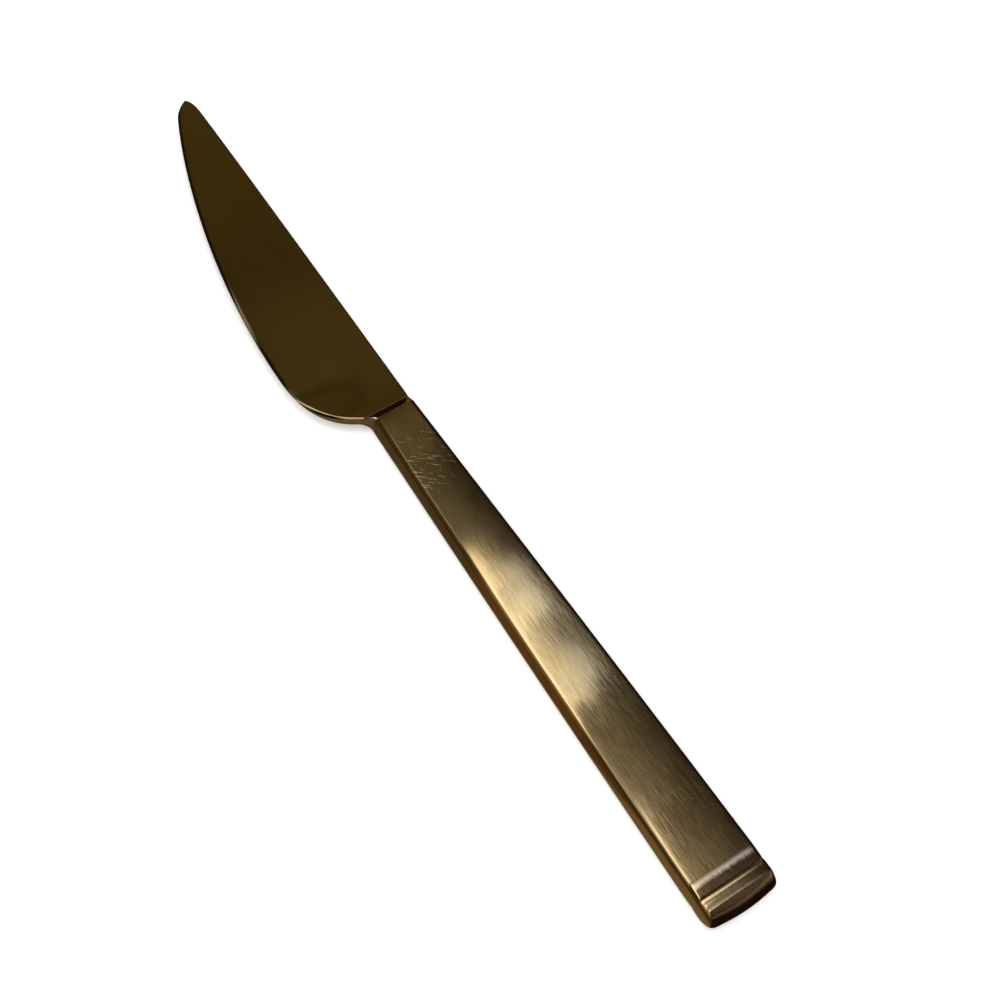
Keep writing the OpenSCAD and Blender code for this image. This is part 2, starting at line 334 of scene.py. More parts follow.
def blade_places():
    """Where the blade's sections stand: close together in the fillets, heel and tip."""
    shoulder = spread([0, CREST_FILLET, FOOT_START, FOOT_END], SHOULDER_STEPS)
    rest = EDGE_LINE[:, 0]
    rest = rest[(rest > FOOT_END + SECTION_GAP) & (rest < BLADE_LENGTH - TIP_GAP)]
    return np.concatenate([shoulder, rest])


def box_outline(half_y, half_z, count):
    """A plain rectangle of that many points, for the tang."""
    on_side = count // 8
    on_top = count // 2 - 2 * on_side
    side = [(half_y, mix(0.5, 1, t) * half_z) for t in np.linspace(0, 1, on_side)]
    top = [(mix(half_y, -half_y, t), half_z) for t in np.linspace(0, 1, on_top + 2)[1:-1]]
    upper = side + top + [(-y, z) for y, z in reversed(side)]
    return upper + [(y, -z) for y, z in reversed(upper)]


def spigot_outline(half_y, half_z):
    """A rounded rectangle that fits inside the shells, with as many points as a blade section."""
    flat_y, flat_z = half_y - INNER_RADIUS, half_z - INNER_RADIUS
    reach = (INNER_RADIUS, INNER_RADIUS)
    upper = arc((flat_y, flat_z), reach, 0, 90, RIM_ARC_STEPS)
    for share in np.linspace(0, 1, len(FACE_SHARES) + 2)[1:-1]:
        upper.append((mix(flat_y, -flat_y, share), half_z))
    upper += arc((-flat_y, flat_z), reach, 90, 180, BACK_ARC_STEPS)
    return upper + [(y, -z) for y, z in reversed(upper)]


def make_blade():
    """Tang, spigot and blade in one loft, as one forging."""
    spigot = spigot_outline(NECK_HALF - INNER_INSET, HALF_THICK - INNER_INSET)
    tang_root = box_outline(TANG_ROOT_HALF, TANG_HALF_THICK, len(spigot))
    tang_end = box_outline(TANG_END_HALF, TANG_HALF_THICK, len(spigot))
    rings = [
        ring(-NECK_SPIGOT - TANG_LENGTH, tang_end),
        ring(-NECK_SPIGOT, tang_root),
        ring(-NECK_SPIGOT, spigot),
        ring(0, spigot),
    ]
    rings += [ring(x, blade_section(x)) for x in blade_places()]
    return loft("blade_forging", rings)


# Handle

def half_at(x):
    """Half the handle's width at x."""
    share = -x / HANDLE_LENGTH
    return mix(NECK_HALF, BUTT_HALF, share) + SIDE_BOW * 4 * share * (1 - share)


def face_at(x, inset=0.0):
    """Half the thickness: filleted at the crest, flat, then rolled down to the groove."""
    if x > -CREST_FILLET and inset == 0:
        return shoulder_half(x)
    if x > ROLL_X:
        return HALF_THICK - inset
    face = HALF_THICK - ROLL_RADIUS + sqrt((ROLL_RADIUS - inset) ** 2 - (ROLL_X - x) ** 2)
    turned = clamped((SEAM_X + SHELL_END_ROUND - x) / SHELL_END_ROUND)
    if inset == 0:
        face -= SHELL_END_ROUND * (1 - sqrt(1 - turned * turned))
    return face


def crowned_half(half, face, radius, crown):
    """The upper half outline, from the +Y side over the crowned face to the -Y side."""
    tilt = atan(2 * crown / (half - radius))
    edge_y = half - radius + radius * sin(tilt)
    middle_z = face - crown - radius * cos(tilt)
    quarter = [(half, middle_z * t) for t in np.linspace(0, 1, SIDE_STEPS + 1)[:-1]]
    quarter += arc((half - radius, middle_z), (radius, radius), 0, 90 - np.degrees(tilt),
                   LONG_EDGE_STEPS)
    across = [(y, face - crown * (y / edge_y) ** 2)
              for y in np.linspace(edge_y, -edge_y, ACROSS_STEPS + 1)[1:-1]]
    return quarter + across + [(-y, z) for y, z in reversed(quarter)]


def shell_section(x):
    """The pressed shell's wall, out over its outer face and back along its inner one."""
    crown = FACE_CROWN * eased(clamped(-x / CROWN_RISE_LENGTH))
    outer = crowned_half(half_at(x), face_at(x), EDGE_RADIUS, crown)
    inner = crowned_half(half_at(x) - SHELL_WALL, face_at(x, SHELL_WALL), INNER_RADIUS, 0)
    return outer + inner[::-1]


def make_shell(name, side):
    """One half shell; side is 1 for the upper one and -1 for the lower one."""
    turns = np.linspace(0, np.pi / 2, SHELL_LIP_STEPS + 1)
    stops = [SEAM_X + SHELL_END_ROUND, ROLL_X, -NECK_STRETCH, -CREST_FILLET, 0]
    places = np.concatenate([
        SEAM_X + SHELL_END_ROUND * (1 - np.cos(turns)),
        spread(stops, SHELL_STEPS)[1:],
    ])
    rings = [ring(x, shell_section(x)) for x in places]
    if side < 0:
        rings = [[(x, y, -z) for x, y, z in reversed(r)] for r in rings]
    return loft(name, rings)


# End cap

def cap_widest():
    """Half the cap's width where its corners begin."""
    return half_at(CORNER_LENGTH - HANDLE_LENGTH)


def end_at(y):
    """Where the cap ends: a slight bow across, and rounded corners."""
    straight = cap_widest() - CORNER_WIDTH
    bow = END_BOW * (min(abs(y), straight) / cap_widest()) ** 2
    over = clamped((abs(y) - straight) / CORNER_WIDTH)
    return bow - HANDLE_LENGTH + CORNER_LENGTH * (1 - sqrt(1 - over * over))


def band_fall(share):
    """How far the band lies below its top: it falls to the lip (0) and less to the crease (1)."""
    off = 2 * share - 1
    return (LIP_FALL if off < 0 else CREASE_FALL) * off * off


def cap_section(share, height):
    """The cap cut lengthwise: its front lip, its band, and the nose down to the middle plane."""
    end = end_at(share * cap_widest())
    crease = CREASE_LENGTH - HANDLE_LENGTH
    front = SEAM_X
    lip = height - LIP_FALL
    upper = [(front, lip * t) for t in FRONT_SHARES]
    upper += arc((front - LIP_ROUND, lip - LIP_ROUND), (LIP_ROUND, LIP_ROUND), 0, LIP_TURN,
                 LIP_STEPS)
    upper += [(mix(front - LIP_ROUND, crease, t), height - band_fall(t)) for t in BAND_SHARES]
    for angle in np.radians(np.linspace(90, 0, NOSE_STEPS + 1)):
        rise = sin(angle)
        upper.append((end + (crease - end) * rise ** NOSE_POWER, (height - CREASE_FALL) * rise))
    lower = [(x, -z) for x, z in reversed(upper[1:-1])]
    crown = 1 - CAP_CROWN / HALF_THICK * min(1.0, share * share)
    return [(x, share * half_at(max(x, end)), z * crown) for x, z in upper + lower]


def make_cap():
    """Cap and spigot, from sections stacked across, close together in the rounded edges."""
    inner = 1 - EDGE_RADIUS / cap_widest()
    turns = np.radians(np.linspace(0, 90, LONG_EDGE_STEPS + 1))
    places = [(mix(inner, 1, cos(t)), HALF_THICK - EDGE_RADIUS * (1 - sin(t))) for t in turns[:-1]]
    places += [(share, HALF_THICK) for share in np.linspace(inner, 0, CAP_HALF_STEPS + 1)]
    places += [(-share, height) for share, height in places[-2::-1]]
    cap = loft("cap", [cap_section(*place) for place in places], stacked_across=True)
    outline = spigot_outline(half_at(SEAM_X) - INNER_INSET, HALF_THICK - INNER_INSET - ROLL_DEPTH)
    ends = (SEAM_X - SPIGOT_ROOT, SEAM_X + CAP_SPIGOT)
    spigot = loft("cap_spigot", [ring(x, outline) for x in ends])
    union = cap.modifiers.new("spigot", "BOOLEAN")
    union.operation = "UNION"
    union.solver = "EXACT"
    union.object = spigot
    depsgraph = bpy.context.evaluated_depsgraph_get()
    shape = bpy.data.meshes.new_from_object(
        cap.evaluated_get(depsgraph), preserve_all_data_layers=True, depsgraph=depsgraph)
    cap.modifiers.clear()
    cap.data = shape
    bpy.data.objects.remove(spigot)
    return cap


# Materials

# Base colours of the bronze coating. The face and blade colours are its own tone; the side, edge,
# far, rim, corner and end colours are painted reflection, shade and glint.
EDGE_TINT = (0.50, 0.46, 0.43, 1)
FACE_DARK = (0.208, 0.145, 0.064, 1)
FACE_LIGHT = (0.275, 0.198, 0.097, 1)
# Painted reflection on the polished sides: dark above for the dim room they reflect, warmest in
# mid-handle, lighter below for the pale floor
SIDE_DARK_REFLECTION = (0.042, 0.020, 0.003, 1)
SIDE_WARM_REFLECTION = (0.078, 0.029, 0.002, 1)
SIDE_FLOOR_REFLECTION = (0.150, 0.088, 0.030, 1)
# Painted reflection in the sides' rounded edges: dark away from mid-handle, warmer in it
EDGE_DARK_REFLECTION = (0.036, 0.018, 0.003, 1)
EDGE_WARM_REFLECTION = (0.130, 0.062, 0.014, 1)
# Painted shade, near black, on surfaces turned to the back's side (-Y) and on the shoulder bevel's
# end there
FAR_SIDE_SHADE = (0.006, 0.003, 0.001, 1)
# Painted shade on the blade's rim, darker than its faces, with a lighter painted reflection by the
# heel
RIM_HEEL_REFLECTION = (0.085, 0.058, 0.027, 1)
RIM_SHADE = (0.045, 0.031, 0.014, 1)
# A painted glint on the rim where it faces forward and towards the cutting edge, near the shoulder
CORNER_GLINT = (0.850, 0.720, 0.580, 1)
BLADE_DARK = (0.185, 0.130, 0.064, 1)
BLADE_LIGHT = (0.200, 0.142, 0.075, 1)
# Painted shade on the end, darker the further the normal turns to it: from which to which X of the
# normal each comes in, the least upright share of the normal that it reaches down to, and its
# colour
END_SHADES = [
    (-0.14, -0.34, 0.7, (0.110, 0.068, 0.040, 1)),
    (-0.42, -0.52, 0.1, (0.065, 0.040, 0.026, 1)),
    (-0.50, -0.57, 0.1, (0.030, 0.017, 0.010, 1)),
    (-0.56, -0.66, 0.1, (0.007, 0.004, 0.002, 1)),
]
TONE_SOFTNESS = 0.1  # over which a tone comes in below that upright share
CEMENT_COLOURS = ((0.36, 0.32, 0.26, 1), (0.55, 0.50, 0.42, 1))
BRASS_COLOURS = ((0.62, 0.45, 0.18, 1), (0.78, 0.60, 0.28, 1))

# Cells of noise to a millimetre, along X, Y and Z, and turns of it about Z in degrees
STREAK_CELLS = (0.28, 4.0, 4.0)
CLOUD_CELLS = (0.09, 0.16, 0.16)
SCRATCH_CELLS = (0.30, 4.5, 0.1)
SCRATCH_TURN = -52
SMEAR_CELLS = (0.06, 0.12, 0.12)
MARK_CELLS = (0.4, 3.0, 3.0)
MARK_TURN = 12
GRAIN_CELLS = 1.4
RIPPLE_CELLS = (1.2, 0.5, 0.5)

# Where a smooth step starts and ends. These are parts of the normal: how upright it is, its X
# towards the blade's tip, and its Y towards the cutting edge's side
HANDLE_FACE = (0.66, 0.84)
ABOVE_SIDE = (0.1, 0.3)
ROUNDED_EDGE = (0.15, 0.50)
SHORT_OF_END = (-0.70, -0.50)
HANDLE_FAR = (-0.20, -0.40)
BLADE_FACE = (0.80, 0.97)
BLADE_FAR = (-0.15, -0.35)
BEVEL_FORWARD = (0.2, 0.35)
BEVEL_FAR = (-0.02, -0.10)
GLINT_FORWARD = (0.25, 0.45)
GLINT_NEAR = (0.2, 0.4)
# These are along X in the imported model's frame, in mm
MID_HANDLE = ((-20.0, -34.0), (-76.0, -62.0))
LIGHT_SIDE = (-66.0, -96.0)
COARSE_BRUSHING = (-100.0, -106.0)
GROOVE = (-111.6, -111.2)
SCRATCHED = ((-7.0, -2.0), (11.5, 8.0))
GLINT_END = (21.0, 19.5)
RIM_FADE = (27.0, 32.0)
# And this is a height in mm, below which a side gets its lighter painted floor reflection, with
# what the clouds add to it and how much higher it lies towards the end
LIGHT_HEIGHT = (2.6, 0.0)
LIGHT_WAVES = 4.0
LIGHT_RISE = (0.0, 4.2)

# Values of noise that a step runs between
WIDE_NOISE = (0.2, 0.8)
MIDDLE_NOISE = (0.3, 0.7)
UPPER_NOISE = (0.4, 0.8)
SCRATCH_NOISE = (0.65, 0.74)

# The streaks' share of the face's tone, and how far brushing tilts the normal
STREAK_SHARE = 0.7
STREAK_TILTS = (0.007, 0.05)  # along the handle, and where it is brushed more coarsely
CLOUD_TILT = 0.010
ACROSS_TILT = 0.05

# Roughness, from and to where it varies. Clouds, scratches and marks add theirs.
SIDE_ROUGH = 0.09
STREAK_ROUGH = (0.09, 0.11)
CLOUD_ROUGH = (-0.005, 0.01)
SCRATCH_ROUGH = 0.08
SMEAR_ROUGH = (0.05, 0.07)
MARK_ROUGH = (0.0, 0.02)
CEMENT_ROUGH = (0.75, 0.95)
BRASS_ROUGH = (0.3, 0.45)

# Bumps, each its strength and its depth in metres
SCRATCH_BUMP = (0.35, 0.00001)
MARK_BUMP = (0.03, 0.00001)
GRAIN_BUMP = (0.5, 0.0001)
RIPPLE_BUMP = (0.6, 0.0001)


class Graph:
    """Adds shader nodes to one tree. An input is a number, a colour or another node's output."""

    def __init__(self, tree):
        self.tree = tree
        tree.nodes.clear()

    def add(self, kind, *values, out=0, inputs=None, **settings):
        """A new node with its inputs by place or by name, and its settings."""
        node = self.tree.nodes.new(kind)
        inputs = inputs or {}
        for key, value in settings.items():
            setattr(node, key, value)
        for key, value in [*enumerate(values), *inputs.items()]:
            if isinstance(value, bpy.types.NodeSocket):
                self.tree.links.new(value, node.inputs[key])
            elif value is not None:
                node.inputs[key].default_value = value
        return node.outputs[out] if node.outputs else node

    def math(self, operation, *values):
        return self.add("ShaderNodeMath", *values, operation=operation)

    def product(self, first, *others):
        for other in others:
            first = self.math("MULTIPLY", first, other)
        return first

    def step(self, value, low, high, to_low=0.0, to_high=1.0):
        """A smooth step from low to high."""
        return self.add("ShaderNodeMapRange", value, low, high, to_low, to_high,
                        interpolation_type="SMOOTHSTEP")

    def scaled(self, vector, scale, turn=0.0):
        """Coordinates turned about Z by an angle in degrees, then scaled."""
        turned = self.add("ShaderNodeMapping", vector, inputs={2: (0, 0, radians(turn))})
        return self.add("ShaderNodeVectorMath", turned, scale, operation="MULTIPLY")

    def noise(self, vector, scale=1.0, detail=3.0, rough=0.55, distort=0.0):
        return self.add("ShaderNodeTexNoise", vector, None, scale, detail, rough,
                        inputs={"Distortion": distort}, noise_dimensions="3D")

    def colour_mix(self, share, low, high):
        """A mix of two colours, which are inputs 6 and 7 of the node."""
        return self.add("ShaderNodeMix", inputs={0: share, 6: low, 7: high}, out=2,
                        data_type="RGBA")

    def number_mix(self, share, low, high):
        return self.add("ShaderNodeMix", inputs={0: share, 2: low, 3: high})

    def parts(self, vector):
        """A vector's X, Y and Z."""
        return self.add("ShaderNodeSeparateXYZ", vector).node.outputs

    def bump(self, strength, depth, height, invert=False):
        return self.add("ShaderNodeBump", strength, depth, inputs={"Height": height},
                        invert=invert)


def surface(name):
    """A new material, with its graph and the place on the object in mm."""
    material = bpy.data.materials.new(name)
    material.use_nodes = True
    graph = Graph(material.node_tree)
    place = graph.add("ShaderNodeTexCoord", out=3)
    place = graph.add("ShaderNodeVectorMath", place, (1 / MM,) * 3, operation="MULTIPLY")
    return material, graph, place


def finish_metal(graph, base, roughness, normal, anisotropic=0.0):
    """Coated metal, whose brushing follows the mesh's UVs."""
    tangent = graph.add("ShaderNodeTangent", direction_type="UV_MAP", uv_map="brush")
    shader = graph.add("ShaderNodeBsdfPrincipled", inputs={
        "Base Color": base,
        "Metallic": 1.0,
        "Roughness": roughness,
        "Anisotropic": anisotropic,
        "Specular Tint": EDGE_TINT,
        "Tangent": tangent,
        "Normal": normal,
    })
    graph.add("ShaderNodeOutputMaterial", shader)


def brushed_bronze():
    """Bronze coating: faces brushed lengthwise, sides polished, rubbed scratches by the neck;
    painted reflection and shade on the sides, edges, end and far side.
    """
    material, graph, place = surface("brushed_bronze")
    streaks = graph.noise(graph.scaled(place, STREAK_CELLS), detail=2, rough=0.6)
    clouds = graph.noise(graph.scaled(place, CLOUD_CELLS), detail=3)
    normal_x, normal_y, normal_z = graph.parts(graph.add("ShaderNodeTexCoord", out=1))
    flat = graph.math("ABSOLUTE", normal_z)
    broad = graph.step(flat, *HANDLE_FACE)
    x = graph.parts(place)[0]

    streaked = graph.product(streaks, STREAK_SHARE)
    tone = graph.math("MULTIPLY_ADD", clouds, 1 - STREAK_SHARE, streaked)
    face = graph.colour_mix(graph.step(tone, *MIDDLE_NOISE), FACE_DARK, FACE_LIGHT)
    side = side_painted_light(graph, place, normal_x, flat, clouds)
    base = graph.colour_mix(graph.product(broad, graph.step(normal_x, *SHORT_OF_END)), side, face)
    # Painted shade, near black, on the rounded edge and face turned to the back's side (-Y)
    far = graph.product(graph.step(normal_y, *HANDLE_FAR), graph.step(flat, *ABOVE_SIDE))
    base = graph.colour_mix(far, base, FAR_SIDE_SHADE)

    scratched = scratches(graph, place, x)
    face_rough = graph.math("ADD", graph.step(streaks, *WIDE_NOISE, *STREAK_ROUGH),
                            graph.step(clouds, *MIDDLE_NOISE, *CLOUD_ROUGH))
    roughness = graph.number_mix(broad, SIDE_ROUGH, face_rough)
    roughness = graph.math("MULTIPLY_ADD", scratched, SCRATCH_ROUGH, roughness)

    bump = graph.bump(*SCRATCH_BUMP, scratched, invert=True)
    coarse = graph.step(x, *COARSE_BRUSHING, *STREAK_TILTS)
    along = graph.product(graph.math("SUBTRACT", streaks, 0.5), coarse)
    drift = graph.math("MULTIPLY_ADD", clouds, CLOUD_TILT, -CLOUD_TILT / 2)
    along = graph.math("ADD", along, drift)
    across = graph.math("MULTIPLY_ADD", streaks, ACROSS_TILT, -ACROSS_TILT / 2)
    brushed = graph.product(broad, graph.step(x, *GROOVE))
    tilt = graph.add("ShaderNodeCombineXYZ", graph.product(along, brushed),
                     graph.product(across, brushed), 0.0)
    normal = graph.add("ShaderNodeVectorMath", bump, tilt, operation="ADD")
    normal = graph.add("ShaderNodeVectorMath", normal, operation="NORMALIZE")
    finish_metal(graph, base, roughness, normal, anisotropic=1.0)
    return material


def side_painted_light(graph, place, normal_x, flat, clouds):
    """Polished sides in painted reflection: reddest mid-handle, lighter below, darker edges,
    painted shade at the end.
    """
    x, _, z = graph.parts(place)
    middle = graph.product(*(graph.step(x, *fade) for fade in MID_HANDLE))
    height = graph.math("MULTIPLY_ADD", graph.math("SUBTRACT", clouds, 0.5), LIGHT_WAVES, z)
    height = graph.math("SUBTRACT", height, graph.step(x, *LIGHT_SIDE, *LIGHT_RISE))
    # Painted reflection: dark and warm above, the floor's lighter reflection below
    colour = graph.colour_mix(middle, SIDE_DARK_REFLECTION, SIDE_WARM_REFLECTION)
    colour = graph.colour_mix(graph.step(height, *LIGHT_HEIGHT), colour, SIDE_FLOOR_REFLECTION)
    # Painted reflection in the rounded edges
    rounding = graph.colour_mix(middle, EDGE_DARK_REFLECTION, EDGE_WARM_REFLECTION)
    colour = graph.colour_mix(graph.step(flat, *ROUNDED_EDGE), colour, rounding)
    # Painted shade on the end, darker the more the normal turns towards it
    for start, stop, least_flat, tone in END_SHADES:
        share = graph.product(graph.step(normal_x, start, stop),
                              graph.step(flat, least_flat - TONE_SOFTNESS, least_flat))
        colour = graph.colour_mix(share, colour, tone)
    return colour


def scratches(graph, place, x):
    """Short slanting scratches that table use has left on the handle's broad face by the neck."""
    coordinates = graph.scaled(place, SCRATCH_CELLS, turn=SCRATCH_TURN)
    lines = graph.noise(coordinates, detail=1, rough=0.4, distort=0.15)
    area = graph.product(*(graph.step(x, *fade) for fade in SCRATCHED))
    return graph.product(graph.step(lines, *SCRATCH_NOISE), area)


def polished_bronze():
    """Mirror-polished coating with faint polishing marks and smears, painted shade and reflection
    on its rim and far side, and a painted glint near the shoulder.
    """
    material, graph, place = surface("polished_bronze")
    smears = graph.noise(graph.scaled(place, SMEAR_CELLS), detail=3)
    marks = graph.noise(graph.scaled(place, MARK_CELLS, turn=MARK_TURN), detail=3, rough=0.6)
    normal_x, normal_y, normal_z = graph.parts(graph.add("ShaderNodeTexCoord", out=1))
    x = graph.parts(place)[0]

    # A painted glint where the rim faces forward and towards the cutting edge, near the shoulder
    glint = graph.product(graph.step(normal_x, *GLINT_FORWARD),
                           graph.step(normal_y, *GLINT_NEAR), graph.step(x, *GLINT_END))
    # Painted shade on the rim, with a lighter painted reflection towards the heel
    rim = graph.colour_mix(graph.step(x, *RIM_FADE), RIM_HEEL_REFLECTION, RIM_SHADE)
    rim = graph.colour_mix(glint, rim, CORNER_GLINT)
    base = graph.colour_mix(graph.step(smears, *MIDDLE_NOISE), BLADE_DARK, BLADE_LIGHT)
    base = graph.colour_mix(graph.step(graph.math("ABSOLUTE", normal_z), *BLADE_FACE), rim, base)
    # Painted shade, near black, where the blade turns to the back's side (-Y), and on the shoulder
    # bevel's end there
    base = graph.colour_mix(graph.step(normal_y, *BLADE_FAR), base, FAR_SIDE_SHADE)
    bevel_end = graph.product(graph.step(normal_y, *BEVEL_FAR),
                              graph.step(normal_x, *BEVEL_FORWARD))
    base = graph.colour_mix(bevel_end, base, FAR_SIDE_SHADE)

    roughness = graph.math("ADD", graph.step(smears, *MIDDLE_NOISE, *SMEAR_ROUGH),
                           graph.step(marks, *UPPER_NOISE, *MARK_ROUGH))
    finish_metal(graph, base, roughness, graph.bump(*MARK_BUMP, marks))
    return material


def poured_cement():
    """Grey-brown cement with a grainy, matt surface."""
    material, graph, place = surface("poured_cement")
    grains = graph.noise(place, GRAIN_CELLS, detail=5, rough=0.7)
    shader = graph.add("ShaderNodeBsdfPrincipled", inputs={
        "Base Color": graph.colour_mix(grains, *CEMENT_COLOURS),
        "Roughness": graph.step(grains, *WIDE_NOISE, *CEMENT_ROUGH),
        "Normal": graph.bump(*GRAIN_BUMP, grains),
    })
    graph.add("ShaderNodeOutputMaterial", shader)
    return material


def braze_brass():
    """Rippled brass, as it has run along the seams."""
    material, graph, place = surface("braze_brass")
    ripples = graph.noise(graph.scaled(place, RIPPLE_CELLS), detail=3)
    shader = graph.add("ShaderNodeBsdfPrincipled", inputs={
        "Base Color": graph.colour_mix(ripples, *BRASS_COLOURS),
        "Metallic": 1.0,
        "Roughness": graph.step(ripples, *WIDE_NOISE, *BRASS_ROUGH),
        "Normal": graph.bump(*RIPPLE_BUMP, ripples),
    })
    graph.add("ShaderNodeOutputMaterial", shader)
    return material


# Studio

# Floor and wall, in metres
FLOOR_RADIUS = 1.6
WALL_CURVE = 0.4
WALL_TOP = 0.75
WALL_CURVE_STEPS = 12
FLOOR_SIDES = 96
FIBRE_CELLS = 900.0  # of noise to a metre
PAPER_COLOURS = ((0.93, 0.93, 0.93, 1), (0.95, 0.95, 0.95, 1))
FLOOR_GLOW = 0.34  # for the camera and in reflections, so that the paper shows white there
WALL_GLOW = 0.9  # for the camera alone, at the far floor and wall, which get less light
FAR_FLOOR = (0.6, 1.5)

# Colours of light
WHITE = (1.0, 1.0, 1.0, 1)
ROOM = (0.055, 0.047, 0.032, 1)
DAYLIGHT = (0.90, 1.10, 1.55, 1)
SUNLIGHT = (1.0, 1.05, 1.15, 1)
LAMPLIGHT = (1.0, 0.98, 0.86, 1)

# Each panel's colour, strength, middle, half size and softness. Its place is the direction's X
# and Y, as if the half dome of the room were seen from above with the knife in its middle.
PANELS = [
    # Dim washes that the handle's lower and upper thirds reflect
    ((1.0, 1.0, 0.95, 1), 0.21, (0.140, 0.10), (0.235, 0.46), (0.015, 0.06)),
    (WHITE, 0.14, (0.172, -0.14), (0.030, 0.25), (0.012, 0.04)),
    ((1.1, 1.0, 1.1, 1), 0.16, (0.085, -0.14), (0.032, 0.25), (0.012, 0.04)),
    (SUNLIGHT, 0.55, (0.165, 0.14), (0.040, 0.35), (0.010, 0.03)),
    # The window's panes, which make the bright middle: sunlit above and in the shade below
    (SUNLIGHT, 2.5, (0.2215, -0.2225), (0.0105, 0.0775), (0.004, 0.03)),
    (SUNLIGHT, 2.0, (0.2735, -0.2225), (0.0175, 0.0775), (0.004, 0.03)),
    (SUNLIGHT, 1.4, (0.2630, -0.2225), (0.0065, 0.0775), (0.004, 0.03)),
    (SUNLIGHT, 2.0, (0.2440, -0.2200), (0.0120, 0.0750), (0.004, 0.03)),
    (DAYLIGHT, 2.6, (0.2215, -0.3430), (0.0105, 0.0430), (0.004, 0.03)),
    (DAYLIGHT, 2.2, (0.2720, -0.3430), (0.0160, 0.0430), (0.004, 0.03)),
    (DAYLIGHT, 1.4, (0.2630, -0.3430), (0.0065, 0.0430), (0.004, 0.03)),
    (DAYLIGHT, 0.45, (0.2440, -0.3550), (0.0120, 0.0750), (0.004, 0.03)),
    (SUNLIGHT, 1.8, (0.2980, -0.1950), (0.0060, 0.0300), (0.004, 0.02)),
    # The window itself, which the long left edge reflects
    (SUNLIGHT, 3.6, (0.1150, 0.14), (0.0400, 0.32), (0.008, 0.03)),
    (SUNLIGHT, 4.3, (0.2460, 0.20), (0.0390, 0.37), (0.009, 0.03)),
    (SUNLIGHT, 1.0, (0.1900, 0.69), (0.1250, 0.26), (0.010, 0.05)),
    ((1.0, 0.85, 0.5, 1), 0.1, (0.350, 0.35), (0.060, 0.50), (0.020, 0.05)),
    (SUNLIGHT, 1.2, (0.345, 0.05), (0.030, 0.08), (0.012, 0.03)),
    (WHITE, 4.5, (0.2950, 0.10), (0.0115, 0.31), (0.003, 0.03)),
    # Round the roll before the groove and the end cap
    ((0.8, 1.0, 1.9, 1), 2.3, (-0.030, -0.175), (0.035, 0.28), (0.060, 0.035)),
    (SUNLIGHT, 1.6, (-0.020, -0.07), (0.070, 0.17), (0.045, 0.04)),
    ((1.0, 1.0, 0.95, 1), 4.6, (-0.120, 0.09), (0.150, 0.20), (0.020, 0.03)),
    ((1.0, 0.80, 1.1, 1), 0.13, (-0.320, -0.25), (0.200, 0.16), (0.060, 0.04)),
    ((1.0, 0.80, 0.9, 1), 0.20, (-0.800, -0.30), (0.110, 0.25), (0.070, 0.05)),
    # What the blade, its shoulder and its rim reflect
    ((1.0, 0.8, 0.15, 1), 0.120, (0.688, -0.18), (0.333, 0.265), (0.006, 0.035)),
    ((1.0, 0.8, 0.30, 1), 0.075, (0.4085, -0.13), (0.0535, 0.170), (0.022, 0.030)),
    ((1.0, 0.7, 0.05, 1), 0.045, (0.610, -0.13), (0.100, 0.200), (0.025, 0.030)),
    (SUNLIGHT, 0.9, (0.512, 0.20), (0.024, 0.15), (0.010, 0.03)),
    ((1.0, 0.6, 0.3, 1), 0.25, (0.930, -0.34), (0.060, 0.16), (0.030, 0.04)),
    # Light from behind the camera and from the sides
    (LAMPLIGHT, 2.2, (-0.60, 0.30), (0.26, 0.28), (0.06, 0.06)),
    (LAMPLIGHT, 1.6, (0.70, 0.56), (0.13, 0.13), (0.05, 0.05)),
    (LAMPLIGHT, 1.6, (-0.45, -0.74), (0.22, 0.12), (0.05, 0.05)),
    (LAMPLIGHT, 2.2, (0.70, -0.60), (0.10, 0.15), (0.04, 0.04)),
]

# The camera's lens, sensor width and place in mm, and its axes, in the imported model's frame
LENS = 68.4
SENSOR = 36.0
CAMERA_PLACE = (-148.22, 130.31, 384.27)
CAMERA_RIGHT = (-0.55749, -0.82252, 0.11255)
CAMERA_DOWN = (-0.76801, 0.4595, -0.44613)
CAMERA_FORWARD = (0.31523, -0.33515, -0.88787)


def floor_mesh():
    """A disc that curves up into a low wall all round, out of the photograph's view."""
    profile = [(FLOOR_RADIUS, 0.0)]
    for t in np.linspace(0, radians(90), WALL_CURVE_STEPS + 1)[1:]:
        profile.append((FLOOR_RADIUS + WALL_CURVE * sin(t), WALL_CURVE * (1 - cos(t))))
    profile.append((FLOOR_RADIUS + WALL_CURVE, WALL_TOP))
    verts = [(0, 0, 0)]
    for radius, height in profile:
        for angle in np.linspace(0, 2 * np.pi, FLOOR_SIDES, endpoint=False):
            verts.append((radius * cos(angle), radius * sin(angle), height))
    faces = [(0, 1 + j, 1 + (j + 1) % FLOOR_SIDES) for j in range(FLOOR_SIDES)]
    for start in range(1, len(verts) - FLOOR_SIDES, FLOOR_SIDES):
        for j in range(FLOOR_SIDES):
            a, b = start + j, start + (j + 1) % FLOOR_SIDES
            faces.append((a, b, b + FLOOR_SIDES, a + FLOOR_SIDES))
    mesh = bpy.data.meshes.new("studio_floor")
    mesh.from_pydata(verts, [], faces)
    mesh.shade_smooth()
    return mesh


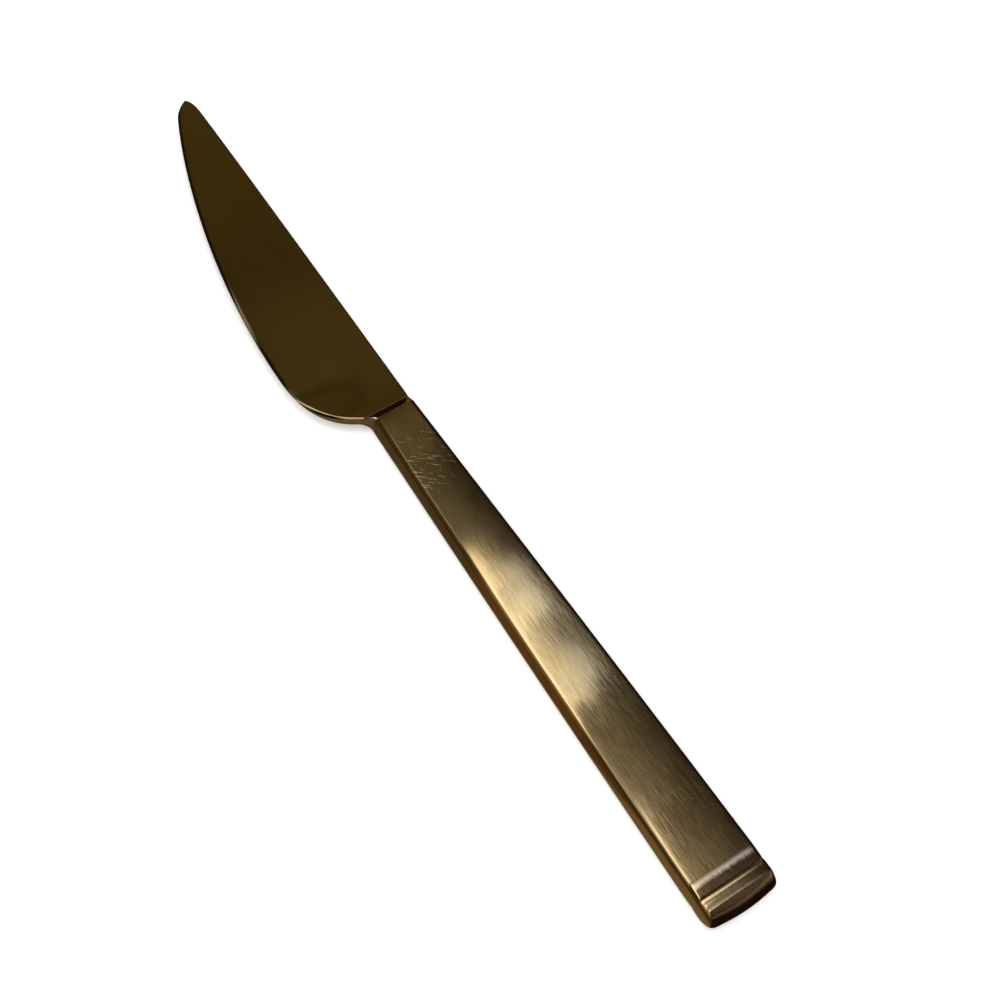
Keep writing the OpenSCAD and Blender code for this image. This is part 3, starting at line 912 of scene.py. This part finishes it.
def studio_paper():
    """White paper that looks white to the camera and in reflections, and still takes shadows."""
    material = bpy.data.materials.new("studio_paper")
    material.use_nodes = True
    graph = Graph(material.node_tree)
    place = graph.add("ShaderNodeTexCoord", out=3)
    fibres = graph.noise(place, FIBRE_CELLS)
    paper = graph.add("ShaderNodeBsdfDiffuse", graph.colour_mix(fibres, *PAPER_COLOURS))
    rays = graph.add("ShaderNodeLightPath").node.outputs
    seen = graph.math("MAXIMUM", rays["Is Camera Ray"], rays["Is Glossy Ray"])
    seen = graph.math("MAXIMUM", seen, rays["Is Transmission Ray"])
    distance = graph.add("ShaderNodeVectorMath", place, operation="LENGTH", out=1)
    far = graph.product(rays["Is Camera Ray"], graph.step(distance, *FAR_FLOOR))
    strength = graph.math("MULTIPLY_ADD", seen, FLOOR_GLOW, graph.product(far, WALL_GLOW))
    glow = graph.add("ShaderNodeEmission", WHITE, strength)
    graph.add("ShaderNodeOutputMaterial", graph.add("ShaderNodeAddShader", paper, glow))
    return material


def make_floor():
    mesh = floor_mesh()
    mesh.materials.append(studio_paper())
    floor = bpy.data.objects.new("studio_floor", mesh)
    bpy.context.scene.collection.objects.link(floor)


def make_world():
    """A dim room with soft bright panels."""
    world = bpy.data.worlds.new("studio")
    bpy.context.scene.world = world
    world.use_nodes = True
    graph = Graph(world.node_tree)
    x, y, z = graph.parts(graph.add("ShaderNodeTexCoord", out=0))
    above = graph.math("GREATER_THAN", z, 0.0)
    light = graph.add("ShaderNodeBackground", ROOM, 1.0)
    for colour, strength, middle, half, soft in PANELS:
        mask = above
        for axis, value in enumerate((x, y)):
            off = graph.math("ABSOLUTE", graph.math("SUBTRACT", value, middle[axis]))
            within = graph.step(off, half[axis] + soft[axis], half[axis] - soft[axis])
            mask = graph.product(mask, within)
        panel = graph.add("ShaderNodeBackground", colour, graph.product(mask, strength))
        light = graph.add("ShaderNodeAddShader", light, panel)
    graph.add("ShaderNodeOutputWorld", light)


def make_camera():
    """The photograph's camera, found by fitting the knife's lines."""
    data = bpy.data.cameras.new("camera")
    data.lens = LENS
    data.sensor_width = SENSOR
    camera = bpy.data.objects.new("camera", data)
    bpy.context.scene.collection.objects.link(camera)
    right, down, forward = (Vector(axis) for axis in (CAMERA_RIGHT, CAMERA_DOWN, CAMERA_FORWARD))
    turn = Matrix((right, -down, -forward)).transposed()
    camera.matrix_world = Matrix.Translation(Vector(CAMERA_PLACE) * MM) @ turn.to_4x4()
    bpy.context.scene.camera = camera


def dress(piece, material, node):
    """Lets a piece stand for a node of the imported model."""
    piece.data.materials.append(material)
    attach(piece, "root")
    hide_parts(node)


def main():
    brushed = brushed_bronze()
    polished = polished_bronze()
    dress(make_blade(), polished, "blade")
    dress(make_shell("shell_top", 1), brushed, "handle_shell_top")
    dress(make_shell("shell_bottom", -1), brushed, "handle_shell_bottom")
    dress(make_cap(), brushed, "end_cap")
    for node, material in (("tang_cement", poured_cement()), ("seam_braze", braze_brass())):
        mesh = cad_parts[node].data
        mesh.materials.clear()
        mesh.materials.append(material)
    make_floor()
    make_world()
    make_camera()
    bpy.context.scene.view_settings.view_transform = "Standard"


main()
